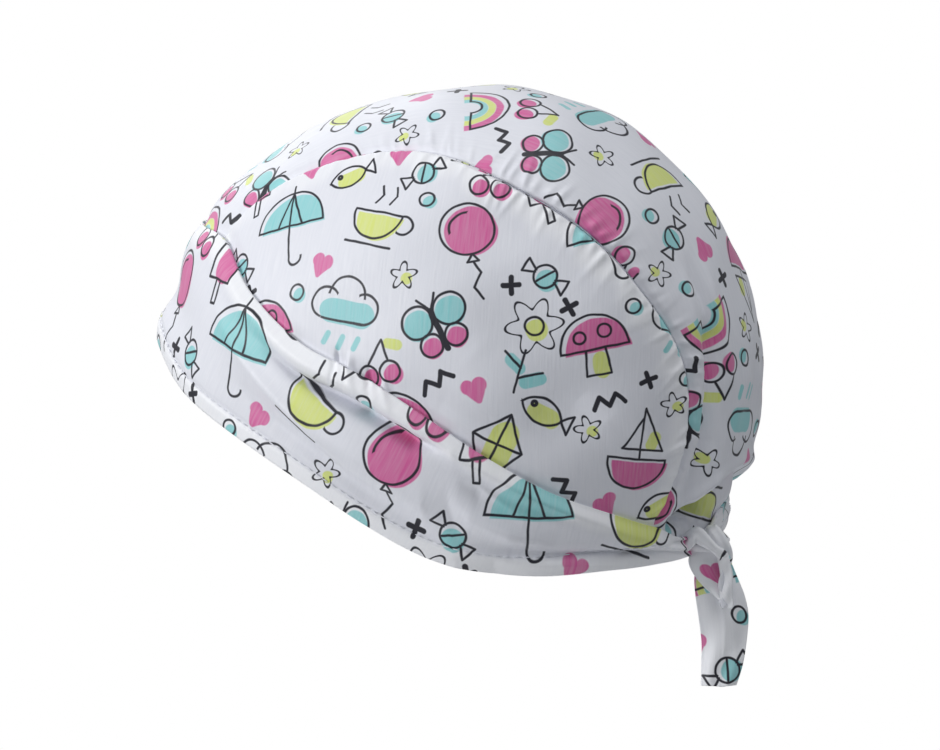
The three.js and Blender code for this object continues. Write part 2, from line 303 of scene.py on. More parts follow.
def outward(points):
    """Direction straight out of the dome."""
    x, y, z = np.moveaxis(points, -1, 0)
    steep = np.stack([x / HALF_WIDTH**2, y / reach(y) ** 2, z / height(z) ** 2], -1)
    return steep / np.linalg.norm(steep, axis=-1, keepdims=True)


def dome_round(turn, z):
    """Point of the dome at a turn from the brow, in degrees, and a height."""
    angle = np.radians(turn)
    across = np.sin(angle)
    along = np.cos(angle)
    radius = np.sqrt(1 - (z / height(z)) ** 2) / np.hypot(across / HALF_WIDTH, along / reach(-along))
    return np.stack([radius * across, -radius * along, z + 0 * radius], -1)


def dome_side(y, z):
    """Half width of the dome at a point seen from the side."""
    rest = 1 - (y / reach(y)) ** 2 - (z / height(z)) ** 2
    return HALF_WIDTH * np.sqrt(np.maximum(rest, 0))


def turn_of(points):
    return np.degrees(np.arctan2(points[..., 0], -points[..., 1]))


# Seam puckers: short ridges across the seam, where its thread draws both panels together
PUCKER_SEED = 11
PUCKER_STEP = (2.6, 6.5)
PUCKER_LIFT = (0.3, 1)
PUCKER_HALF = (0.8, 1.7)
PUCKER_REACH = (3, 9)
PUCKER_LEAN = 0.4
SEAM_DIP = 0.9
SEAM_DIP_HALF = 1.2
# The seam's turnings lie under the side panel and raise it along the seam
SEAM_RIDGE = 1.7
SEAM_RIDGE_HALF = 7
# How strongly the seam is drawn, and how far its turnings show as painted light, lighter cloth over them,
# by its running length from the brow
SEAM_DRAW = table(
    "along draw show",
    (0, 0.2, 0.4),
    (60, 0.5, 0.7),
    (120, 1, 1),
    (220, 1, 0.9),
    (260, 0.8, 0.6),
    (290, 0.6, 0.15),
    (330, 0.5, 0.1),
)
# The turnings' edge wanders: wave length, how far, and where the wave starts
TURNING_WAVES = table(
    "length aside phase",
    (23, 1.4, 0.5),
    (9.5, 0.8, 2),
)


def seam_puckers(seam_length):
    """Places and sizes of the puckers along one seam."""
    random = np.random.default_rng(PUCKER_SEED)
    rows = []
    along = random.uniform(*PUCKER_STEP)
    while along < seam_length:
        lift = random.uniform(*PUCKER_LIFT) * column(SEAM_DRAW, "along", "draw", along)
        half = random.uniform(*PUCKER_HALF)
        length = random.uniform(*PUCKER_REACH)
        lean = random.uniform(-PUCKER_LEAN, PUCKER_LEAN)
        rows.append((along, lift, half, length, lean))
        along += random.uniform(*PUCKER_STEP)
    return rows


def seam_lift(along, away, puckers):
    """Lift of the cloth beside a seam: the puckers, and the dip of the seam line itself."""
    lift = -SEAM_DIP * np.exp(-((away / SEAM_DIP_HALF) ** 2))
    for place, high, half, length, lean in puckers:
        fade = np.exp(-((away / length) ** 2)) * (1 - np.exp(-((away / SEAM_DIP_HALF) ** 2)))
        lift = lift + high * fade * np.exp(-(((along - place - lean * away) / half) ** 2))
    return lift


# Slow waves of loose cloth, clear of the seams: wave length, heading in degrees, lift and start
DRAPE_CLEAR = 20
DRAPE = table(
    "length heading lift phase",
    (71, 20, 0.45, 0.4),
    (47, 75, 0.35, 2.1),
    (33, 130, 0.25, 4.0),
)


def drape_lift(u, v):
    lift = 0
    for row in DRAPE:
        heading = math.radians(row.heading)
        along = u * math.cos(heading) + v * math.sin(heading)
        lift = lift + row.lift * np.sin(2 * math.pi * along / row.length + row.phase)
    return lift


# Brow band

# Ends of the band, drawn together into the knot: over a turn in degrees, to these heights, with pleats
BUNCH_RUN = 15
BUNCH_TOP = -51.2
BUNCH_RIM = -56.4
BUNCH_PLEAT = 0.7
BUNCH_PLEATS = 2
BUNCH_OUT = 1.5

# Sharper creases of the band, over the broad folds
BAND_CREASES = [
    fold(
        0.03,
        *((50, 0.79, 0), (58, 0.75, -1.8), (67, 0.77, -3.8)),
        *((76, 0.77, -4.2), (88, 0.78, -3), (98, 0.88, 0)),
    ),
    fold(0.06, (34, 0.7, 0), (46, 0.6, 1), (60, 0.48, 1.4), (71, 0.33, 1.3), (86, 0.27, 0)),
    fold(0.05, (96, 0.19, 0), (112, 0.24, -1.3), (123, 0.27, -1.4), (143, 0.29, -1.4), (158, 0.38, 0)),
    fold(0.02, (68.5, 1, -1.7), (69.5, 0.86, 0)),
    fold(0.03, (72, 1, 1.4), (75.5, 0.86, 0)),
    fold(0.022, (77, 1, -1.2), (79, 0.88, 0)),
    fold(0.03, (81, 1, 0.9), (84, 0.88, 0)),
]
HEM_RISE = 0.5
HEM_STEP = 0.6
HEM_GROOVE = 0.5
HEM_GROOVE_HALF = 1
BAND_DRAPE = 0.4
# The top edge is rolled: the crest lies below the edge, which turns in, down onto the panels
ROLL_DOWN = 5
ROLL_HALF = 4.4
TURN_IN_RUN = 5
ROLL = table(
    "turn lift turn_in",
    (0, 0, 0.3),
    (20, 0.2, 0.5),
    (35, 0.6, 1),
    (50, 1.2, 1.4),
    (65, 1.9, 1.8),
    (125, 2, 2),
    (150, 0, 1.2),
)


def band_edges(turn):
    """Heights of the band's top edge and rim, which draw together towards the knot at both ends."""
    around = np.abs(turn)
    top = column(BAND, "turn", "top", around)
    rim = column(BAND, "turn", "rim", around)
    drawn = 1 - smoothstep(np.minimum(turn + RIGHT_END, LEFT_END - turn), 0, BUNCH_RUN)
    return lerp(top, BUNCH_TOP, drawn), lerp(rim, BUNCH_RIM, drawn), drawn


def band_out(turn, up):
    """How far the band's outer face stands out from the dome."""
    around = np.abs(turn)
    folds = sum(fold_lift(around, up, rows, TURN_PER_WIDTH) for rows in (BAND_FOLDS, BAND_CREASES))
    top, rim, _ = band_edges(turn)
    below_top = (1 - up) * (top - rim)
    roll = column(ROLL, "turn", "lift", around) * np.exp(-(((below_top - ROLL_DOWN) / ROLL_HALF) ** 2))
    turned_in = column(ROLL, "turn", "turn_in", around) * (1 - smoothstep(below_top, 0, TURN_IN_RUN))
    return WALL + LAP_GAP + column(BAND, "turn", "out", around) + folds + roll - turned_in


def band_face(turn, up):
    """Outer face of the brow band at a turn from the brow and a share of its width from the rim."""
    top, rim, drawn = band_edges(turn)
    points = dome_round(turn, lerp(rim, top, up))
    pleats = drawn * BUNCH_PLEAT * np.cos(2 * math.pi * BUNCH_PLEATS * up)
    return points + outward(points) * (band_out(turn, up) + pleats + drawn * BUNCH_OUT)[..., None]


def tucked_in(points):
    """Panel points moved onto the inside of the band where they lie behind it."""
    turn = turn_of(points)
    turn = np.where(turn > LEFT_END, turn - 360, turn)
    top, rim, _ = band_edges(turn)
    y = points[..., 1]
    z = points[..., 2]
    up = np.clip((z - rim) / (top - rim), 0, 1)
    room = band_out(turn, up) - WALL - TUCK_GAP
    shares = points / np.stack([HALF_WIDTH + 0 * y, reach(y), height(z)], -1)
    size = np.linalg.norm(shares, axis=-1)
    stands = (size - 1) * np.linalg.norm(points, axis=-1) / size
    behind = smoothstep(top + TUCK_RUN - z, 0, TUCK_RUN) * smoothstep(z - rim, -TUCK_RUN, 0)
    return points + outward(points) * (behind * (room - stands))[..., None]


# Crown panel

# Sharper creases of the crown's gathers, alike on both sides
CREASES = [
    fold(
        2.2,
        *((27, 47, 0), (28, 34, -1.5), (28, 18, -1.8)),
        *((30, -2.5, -1.7), (31.5, -16, -1.7), (38, -40, 0)),
    ),
    fold(3, (31, 52, 0), (33.5, 36, 1.3), (36, 22, 1.5), (36, 3, 1.4), (37, -24, 0)),
    fold(3, (21, 46, 0), (21.7, 35, 1.2), (22.5, 20, 1.4), (20.3, 3, 1.3), (19, -12, 0)),
    fold(
        2.4,
        *((0, -27.5, 0.8), (18, -28.2, 1), (25.7, -31.9, 1.8)),
        *((31.9, -35.6, 1.8), (40.6, -42.3, 0.8)),
    ),
]
# Crumpled hollow over the knot
CRUMPLES = [
    fold(4.2, (18, -39, 0), (24, -41, -7), (33, -43, -7), (39, -45, 0)),
    fold(1.3, (20, -48, 0), (23, -45, 1.8), (29, -39.5, 1.8), (32, -37, 0)),
    fold(1.2, (26, -50, 0), (29, -47, 1.8), (33, -43, 1.6), (36, -40, 0)),
    fold(1.2, (17, -47, 0), (20, -41, 1.3), (21.5, -35, 0)),
    fold(1.1, (30, -49, 0), (33, -45.5, 2), (38, -43, 0)),
    fold(1.1, (22, -43.5, 0), (26, -44.5, 1.8), (31, -43.5, 1.4), (34, -41, 0)),
    fold(1, (23, -37, 0), (25, -40, 1.6), (25.5, -44, 0)),
]
# Small upright folds over the band at the nape, where the crown is gathered
NAPE_SEED = 5
NAPE_HALF = 37
NAPE_FOOT = -50
NAPE_STEP = (4, 8)
NAPE_LIFT = (0.5, 1.3)
NAPE_SPREAD = (1.2, 2.2)
NAPE_RISE = (8, 24)
NAPE_LEAN = 0.3


def nape_gathers():
    random = np.random.default_rng(NAPE_SEED)
    folds = []
    x = -NAPE_HALF
    while x < NAPE_HALF:
        rise = random.uniform(*NAPE_RISE)
        lean = random.uniform(-NAPE_LEAN, NAPE_LEAN) * rise
        lift = random.uniform(*NAPE_LIFT)
        spread = random.uniform(*NAPE_SPREAD)
        folds.append(fold(spread, (x, NAPE_FOOT, lift), (x + lean, NAPE_FOOT + rise, 0)))
        x += random.uniform(*NAPE_STEP)
    return folds


def middle_points():
    """The crown's middle line from the brow over the top and down the nape, as back and height."""
    angle = np.radians(np.arange(LINE_FROM, LINE_TO + 1, LINE_STEP))
    along = np.cos(angle)
    radius = 1 / np.hypot(along / reach(-along), np.sin(angle) / CROWN_HEIGHT)
    arch = np.stack([-radius * along, radius * np.sin(angle)], -1)
    return np.concatenate([arch, [(row.back, row.z) for row in NAPE]])


MIDDLE_LINE = middle_points()


def back_lift(x, z):
    """Gathers and the overhanging bag at the back of the crown."""
    aside = np.abs(x)
    bag_edge = lerp(BAG_EDGE_MIDDLE, BAG_EDGE_SIDE, (aside / BAG_SIDE) ** 2)
    step = -BAG_STEP * smoothstep(bag_edge - z, 0, BAG_RUN)
    return step + fold_lift(aside, z, GATHERS)


def crown_face(t, side):
    """Outer face of the crown: t along the middle line, side from -1 to 1 across the panel."""
    back, up = np.moveaxis(spline(MIDDLE_LINE, t), -1, 0)
    alpha = np.degrees(np.arctan2(up, -back)) % 360
    x = side * column(SEAM, "alpha", "half", alpha)
    shrink = np.sqrt(1 - (x / HALF_WIDTH) ** 2)
    points = np.stack([x, back * shrink, up * shrink], -1)
    clear_of_seam = 1 - smoothstep(np.abs(side), SEAM_FADE, 1)
    lift = np.where(points[..., 1] > 0, clear_of_seam * back_lift(x, points[..., 2]), 0)
    return points + outward(points) * lift[..., None]


def crown_end(side, end):
    """Where along the middle line each column of the crown ends behind the band."""
    inside = np.full(side.shape, 0.5)
    beyond = np.full(side.shape, float(end))
    for _ in range(EDGE_HALVINGS):
        t = (inside + beyond) / 2
        points = crown_face(t, side)
        clear = points[:, 2] > column(BAND, "turn", "top", np.abs(turn_of(points))) - LAP
        inside = np.where(clear, t, inside)
        beyond = np.where(clear, beyond, t)
    return inside


def crown_grid():
    """Points of the crown row by row, its print places, and its seam before the cloth is drawn up."""
    even = np.linspace(-1, 1, CROWN_COLUMNS + 1)
    side = lerp(even, np.sin(even * math.pi / 2), CROWN_CROWDING)
    front = crown_end(side, 0)
    nape = crown_end(side, 1)
    aside = np.abs(side) * column(SEAM, "alpha", "half", NAPE_ALPHA)
    tip = lerp(nape, 1, 1 - smoothstep(aside, FLAP_TIP_HALF, FLAP_HALF))
    down = np.linspace(0, 1, CROWN_ROWS + 1)[:, None]
    flap_down = np.linspace(0, 1, FLAP_ROWS + 1)[1:, None]
    t = np.concatenate([lerp(front, nape, down), lerp(nape, tip, flap_down)])
    points = crown_face(t, side[None, :])
    seam = points[: CROWN_ROWS + 1, -1]

    along = lengths_along(seam)
    along = np.concatenate([along, np.full(FLAP_ROWS, along[-1])])[:, None]
    half = column(SEAM, "alpha", "half", np.degrees(np.arctan2(points[..., 2], -points[..., 1])) % 360)
    away = (1 - np.abs(side)) * half
    lift = seam_lift(along, away, seam_puckers(along[-1, 0]))

    samples = np.linspace(0, 1, LINE_SAMPLES)
    run = np.interp(t, samples, lengths_along(spline(MIDDLE_LINE, samples)))
    across = HALF_WIDTH * np.arcsin(points[..., 0] / HALF_WIDTH)
    lift += drape_lift(across, run) * smoothstep(away, 0, DRAPE_CLEAR)
    x, y, z = np.moveaxis(points, -1, 0)
    creases = fold_lift(np.abs(x), z, CREASES)
    creases += fold_lift(x, z, CRUMPLES) + fold_lift(x, z, nape_gathers())
    lift += np.where(y > 0, creases, 0)
    points = tucked_in(points + outward(points) * lift[..., None])
    return points, np.stack([across, run], -1), seam


# Side panels

# How far round the dome the print is laid flat, as a share of the way to the dome's edge
FLATTENED = (1e-6, 0.98)
# Soft folds of the side panels, by places seen from the side: y, z and lift
SIDE_FOLDS = [
    fold(7, (4, 26, 0), (18, 15.5, 1.3), (36, 0, 1.3), (47, -8, 0)),
    fold(5, (-6, 8, 0), (8, 0, -1.2), (26, -9, -1.4), (44, -16, 0)),
    fold(4.5, (52, 2, 0), (59, -7, 1.3), (68, -20, 1.3), (71, -28, 0)),
    fold(21, (18, 66, 0), (26, 48, -3), (38, 24, -3.6), (47, 6, -3.2), (54, -14, 0)),
]


def side_grid(seam, mirror):
    """Side panel from the crown's seam to the lap behind the band, its print places and double cloth."""
    along = lengths_along(seam)
    ends = turn_of(seam)
    turn = lerp(ends[0] + END_TURN, ends[-1] - END_TURN, along / along[-1])
    foot = dome_round(turn, column(BAND, "turn", "top", turn) - LAP)
    sunk = seam[:, 0] - dome_side(seam[:, 1], seam[:, 2])
    even = np.linspace(0, 1, SIDE_COLUMNS + 1)
    up = 1 - (1 - even) ** SIDE_CROWDING
    y = lerp(foot[:, 1:2], seam[:, 1:2], up)
    z = lerp(foot[:, 2:3], seam[:, 2:3], up)
    x = dome_side(y, z) + sunk[:, None] * up * up
    points = np.stack([x, y, z], -1)
    away = (1 - up) * np.linalg.norm(seam - foot, axis=-1)[:, None]
    lift = seam_lift(along[:, None], away, seam_puckers(along[-1]))
    drawn = column(SEAM_DRAW, "along", "draw", along)[:, None]
    close = np.exp(-((away / SEAM_RIDGE_HALF) ** 2)) * (1 - np.exp(-((away / SEAM_DIP_HALF) ** 2)))
    lift += SEAM_RIDGE * drawn * close + fold_lift(y, z, SIDE_FOLDS)
    lift += drape_lift(y, z) * smoothstep(away, 0, DRAPE_CLEAR)
    points = tucked_in(points + outward(points) * lift[..., None])
    slope = np.clip(np.hypot(y / reach(y), z / height(z)), *FLATTENED)
    spread = np.arcsin(slope) / slope
    print_places = np.stack([mirror * y * spread, z * spread], -1)
    points[..., 0] *= mirror
    # Turnings under the panel get the double cloth's lighter shades, scaled by the show column: painted
    # light
    waves = (row.aside * np.sin(2 * math.pi * along / row.length + row.phase) for row in TURNING_WAVES)
    turning = doubled(away, SEAM_TURNING + sum(waves)[:, None], SEAM_TURNING_EDGE)
    painted_light_amount = column(SEAM_DRAW, "along", "show", along)[:, None]
    grids = points, print_places, turning * painted_light_amount
    if mirror > 0:
        return [grid[:, ::-1] for grid in grids]
    return grids


# Strip of the band

def band_grid():
    """Outer face of the band from its right end to its left, its print places and where it is double."""
    turn = np.linspace(-RIGHT_END, LEFT_END, BAND_STEPS + 1)[:, None]
    up = np.linspace(1, 0, BAND_ROWS + 1)[None, :]
    points = band_face(turn, up)
    width = np.linalg.norm(np.diff(points, axis=1), axis=-1)
    fallen = np.concatenate([np.zeros((len(points), 1)), np.cumsum(width, axis=1)], axis=1)
    risen = fallen[:, -1:] - fallen

    middle = points[:, BAND_ROWS // 2]
    ahead = np.gradient(middle, axis=0)
    ahead /= np.linalg.norm(ahead, axis=-1, keepdims=True)
    above = np.cross(outward(middle), ahead)
    beside = points - middle[:, None]
    along = lengths_along(middle)[:, None] + np.einsum("ijk,ik->ij", beside, ahead)
    across = np.einsum("ijk,ik->ij", beside, above)

    hem = HEM_RISE * (1 - smoothstep(risen, HEM - HEM_STEP, HEM + HEM_STEP))
    hem -= HEM_GROOVE * np.exp(-(((risen - HEM) / HEM_GROOVE_HALF) ** 2))
    points = points + outward(points) * (hem + BAND_DRAPE * drape_lift(along, across))[..., None]
    # Hem and rolled top edge lie double and get the lighter shades: painted light for less shade showing
    # through
    double = np.maximum(doubled(risen, HEM, HEM_EDGE), doubled(fallen, ROLL_TURNING, ROLL_TURNING_EDGE))
    return points, np.stack([along, across], -1), double


# Knot and tie ends, measured from the middle of the knot along the photograph's axes: right, up and near
KNOT_MIDDLE = (24.3, 81.8, -52.8)


def from_knot(points):
    axes = np.array([IMAGE_RIGHT, IMAGE_UP, TO_CAMERA])
    return np.asarray(KNOT_MIDDLE) + np.asarray(points, float) @ axes


# Strips of the knot: the lump that the tie is drawn round, the turn over it, and the far end coming in
KNOT_LUMP = table(
    "right up near wide thick",
    (-8.6, -1.8, -2.6, 2.2, 1.2),
    (-5.6, -1.2, -1, 3.6, 2.8),
    (-1, -0.6, -0.4, 4.4, 3.6),
    (3.6, -1, -0.8, 4.2, 3.2),
    (7, -2, -2, 3, 2),
    (9, -2.6, -3.6, 1.6, 0.8),
)
KNOT_TURN = table(
    "right up near wide thick",
    (-8.4, -3.4, -2.4, 1.4, 0.9),
    (-8.1, -2.2, 1.2, 1.9, 0.95),
    (-6, -0.2, 3.6, 3, 1.05),
    (-2.8, 2.9, 5, 3.1, 1.1),
    (0.4, 1.1, 5.6, 2.3, 1.05),
    (3.6, -1.5, 5.6, 1.6, 1),
    (6.2, -3.6, 5, 1.9, 0.95),
    (7.4, -5.8, 3.8, 2.2, 0.8),
)
KNOT_FAR_END = table(
    "right up near wide thick",
    (9, 0.4, -5, 2.2, 1),
    (6, 3.4, -4.2, 2.4, 1.1),
    (3.2, 5, -1.4, 2.5, 1.15),
    (4, 3.8, 1.6, 2.5, 1.15),
    (6.2, 0.6, 2.4, 2.5, 1.1),
    (8, -3, 1.4, 2.3, 1.05),
    (8.4, -6.2, -0.6, 2.1, 0.9),
    (7.8, -9.4, -2.4, 1.8, 0.6),
)
# The strips face away from the knot's core
KNOT_CORE = (6, -2, -5)
STRIP_STEPS = 48
STRIP_SIDES = 28
STRIP_PLEAT = 0.2
STRIP_PLEATS = 5
STRIP_TWIST = 2.2


def strip_points(rows):
    """Rings of points round a pleated strip that follows the rows of a table, and their print places."""
    share = np.linspace(0, 1, STRIP_STEPS + 1)
    path = from_knot(spline([(row.right, row.up, row.near) for row in rows], share))
    sizes = spline([(row.wide, row.thick) for row in rows], share)
    along = np.gradient(path, axis=0)
    along /= np.linalg.norm(along, axis=-1, keepdims=True)
    out = path - from_knot(KNOT_CORE)
    out -= along * np.sum(out * along, axis=-1, keepdims=True)
    out /= np.linalg.norm(out, axis=-1, keepdims=True)
    across = np.cross(along, out)
    angle = np.linspace(0, 2 * math.pi, STRIP_SIDES + 1)[None, :-1, None]
    pleat = 1 + STRIP_PLEAT * np.cos(STRIP_PLEATS * angle + STRIP_TWIST * share[:, None, None])
    wide = sizes[:, None, :1] * np.cos(angle)
    thick = sizes[:, None, 1:] * np.sin(angle) * pleat
    rings = path[:, None] + across[:, None] * wide + out[:, None] * thick
    run = lengths_along(path)[:, None] + 0 * angle[..., 0]
    return rings, np.stack([run, wide[..., 0]], -1)


def closed_strip(rings, first):
    """Faces of a closed strip whose points start at a number."""
    steps, sides = rings.shape[:2]
    ring = first + np.arange(steps * sides).reshape(steps, sides)
    after = np.roll(ring, -1, axis=1)
    quads = np.stack([ring[:-1], after[:-1], after[1:], ring[1:]], -1).reshape(-1, 4)
    return [*quads.tolist(), ring[0][::-1].tolist(), ring[-1].tolist()]


# Tie ends going down: points across the strip from its left edge over its folds, as right, up and near
LONG_TIE = table(
    "left fold right",
    ((1, -3, -0.6), (4.6, -2.6, 0.2), (8.6, -3.4, -0.8)),
    ((-1.8, -7.4, -0.5), (4, -7.2, 0.6), (10.4, -7.6, -1.7)),
    ((-2.7, -12, -1), (4.6, -12, 0.4), (12.2, -12, -2.4)),
    ((-2.3, -18, -1.6), (6, -18, 0), (14.6, -18, -2.8)),
    ((-1.3, -25, -2), (7.4, -25, -0.4), (16, -25, -3)),
    ((-0.2, -34, -2), (7.6, -34, -0.4), (15.3, -34, -2.8)),
    ((-0.3, -42, -1.5), (6.8, -42, 0), (13.9, -42, -2.2)),
    ((-0.5, -48.8, -1), (5.8, -49, 0.4), (11.8, -48.8, -1.8)),
)
SHORT_TIE = table(
    "left tuck fold right",
    ((-3.3, -0.8, 1.6), (4.4, -1.8, 2.6), (4, -2.2, 4.6), (8.4, -3.2, 4.6)),
    ((-4.5, -4.4, 3.2), (5.6, -4.6, 2), (4.4, -4.6, 4.4), (9, -5.4, 5.2)),
    ((-4.5, -7.6, 3.4), (6.4, -7.8, 1.9), (5.3, -7.8, 4.2), (9.5, -8.8, 5.4)),
    ((-2.6, -11.4, 3.2), (6.8, -11.6, 1.9), (5.8, -11.8, 4), (9.8, -13, 5.2)),
    ((0.8, -15, 2.9), (6.6, -15.4, 2), (5.6, -15.8, 3.8), (10, -17.2, 4.8)),
    ((4.2, -18.2, 2.6), (6.8, -18.6, 2.2), (5.8, -19.2, 3.6), (10.2, -20.8, 4.4)),
    ((6.4, -20.2, 2.6), (7.6, -20.8, 2.4), (7.2, -21.6, 3.2), (9.8, -22.4, 3.8)),
)
TIE_STEPS = 90
TIE_COLUMNS = 36
TIE_WALL = 1.1
TIE_BOW = 0.6
TIE_WAVE = 0.35
TIE_WAVES_DOWN = 14
TIE_WAVES_ACROSS = 4.5
TIE_WAVE_START = (0.05, 0.3)


def tie_grid(rows):
    """Outer face of a hanging tie end with its lengthwise folds, its print places and painted light over
    all of it.
    """
    share = np.linspace(0, 1, TIE_STEPS + 1)
    lines = np.stack([spline([row[line] for row in rows], share) for line in range(len(rows[0]))], 1)
    panels = lines.shape[1] - 1
    across = np.linspace(0, panels, TIE_COLUMNS + 1)
    panel = np.minimum(across.astype(int), panels - 1)
    beside = (across - panel)[None, :, None]
    local = lerp(lines[:, panel], lines[:, panel + 1], beside)
    bow = TIE_BOW * np.sin(math.pi * across) ** 2
    wave = TIE_WAVE * np.sin(TIE_WAVES_DOWN * share[:, None] + TIE_WAVES_ACROSS * across[None, :])
    local[..., 2] += bow + wave * smoothstep(share, *TIE_WAVE_START)[:, None]
    points = from_knot(local)
    run = lengths_along(points[:, TIE_COLUMNS // 2])[:, None]
    wide = np.linalg.norm(np.diff(points, axis=1), axis=-1)
    beside = np.concatenate([np.zeros((len(points), 1)), np.cumsum(wide, axis=1)], axis=1)
    # All ones: the whole tie gets the double cloth's lighter shades, as painted light glowing through the
    # thin cloth
    return points[:, ::-1], np.stack([beside, -run + 0 * beside], -1)[:, ::-1], np.ones(points.shape[:2])


# Meshes

def piece_of(name, points, faces, places, materials, double=None):
    """Mesh object in metres from points in mm, with print places in mm as its texture map."""
    mesh = bpy.data.meshes.new(name)
    mesh.from_pydata((np.asarray(points) * MM).tolist(), [], [list(face) for face in faces])
    layer = mesh.uv_layers.new(name="Print")
    corners = np.empty(len(mesh.loops), int)
    mesh.loops.foreach_get("vertex_index", corners)
    layer.data.foreach_set("uv", np.asarray(places, float)[corners].ravel())
    for material in materials:
        mesh.materials.append(material)
    # Share of the cloth given the double cloth's lighter shades: where it lies double, and painted light
    # where it is all ones
    if double is not None:
        mesh.attributes.new("Double", "FLOAT", "POINT").data.foreach_set("value", np.ravel(double))
    mesh.polygons.foreach_set("use_smooth", np.ones(len(mesh.polygons), bool))
    shape = bmesh.new()
    shape.from_mesh(mesh)
    bmesh.ops.remove_doubles(shape, verts=shape.verts, dist=MERGE)
    bmesh.ops.dissolve_degenerate(shape, edges=shape.edges, dist=MERGE)
    shape.to_mesh(mesh)
    shape.free()
    piece = bpy.data.objects.new(name, mesh)
    bpy.context.collection.objects.link(piece)
    return piece


def grid_faces(rows, columns):
    corner = np.arange(rows * columns).reshape(rows, columns)
    quads = [corner[:-1, :-1], corner[:-1, 1:], corner[1:, 1:], corner[1:, :-1]]
    return np.stack([quad.ravel() for quad in quads], -1)


def cloth_piece(name, grid, places, double, wall=WALL, plain_edges=False):
    """Cloth wall on a grid of outer points: the printed face, the plain reverse and the edges."""
    rows, columns = grid.shape[:2]
    faces = grid_faces(rows, columns)
    shifted = places.reshape(-1, 2) + PRINT_SHIFT[name]
    piece = piece_of(name, grid.reshape(-1, 3), faces, shifted, [PRINTED, REVERSE], double)
    thick = piece.modifiers.new("wall", "SOLIDIFY")
    thick.thickness = wall * MM
    thick.offset = -1
    thick.material_offset = 1
    thick.material_offset_rim = int(plain_edges)
    return piece


# Materials

def linear(colour):
    """Linear colour of an sRGB hex value."""
    parts = [int(colour[i : i + 2], 16) / 255 for i in (1, 3, 5)]
    return [part / 12.92 if part <= 0.04045 else ((part + 0.055) / 1.055) ** 2.4 for part in parts] + [1]


def node(tree, kind, inputs, **settings):
    """Adds one node: inputs maps a socket's name or number to another socket or to a value."""
    made = tree.nodes.new("ShaderNode" + kind)
    for name, value in settings.items():
        setattr(made, name, value)
    for key, value in inputs.items():
        if isinstance(value, bpy.types.NodeSocket):
            tree.links.new(value, made.inputs[key])
        else:
            made.inputs[key].default_value = value
    return made.outputs


def new_material(name):
    material = bpy.data.materials.new(name)
    material.use_nodes = True
    material.node_tree.nodes.clear()
    return material, material.node_tree


# Sockets of a colour mix: its share, its two colours and what comes out
SHARE = 0
FIRST = 6
SECOND = 7
MIXED = 2


# Printed cloth. The print is a small repeat of everyday things, charted one by one: a stroke is a line or
# an arc of the pen, a patch is a round of dye, and both are placed in millimetres from the motif's middle
Line = namedtuple("Line", "x0 y0 x1 y1 dye pen")
Arc = namedtuple("Arc", "x y radius keep off dye pen")
Patch = namedtuple("Patch", "x y radius keep off dye")
Petals = namedtuple("Petals", "x y radius count depth")

PEN = 0.38
UP = 90
DOWN = -90


def pen(*corners, dye="ink", half=PEN):
    """Strokes from corner to corner."""
    return [Line(*a, *b, dye, half) for a, b in zip(corners, corners[1:])]


def arc(x, y, radius, keep=None, off=0, dye="ink", half=PEN):
    """Round stroke, or the part of it that lies past off in the direction keep."""
    return [Arc(x, y, radius, keep, off, dye, half)]


def patch(x, y, radius, dye, keep=None, off=0):
    return [Patch(x, y, radius, keep, off, dye)]


def petals(x, y, radius, count, depth):
    return [Petals(x, y, radius, count, depth)]


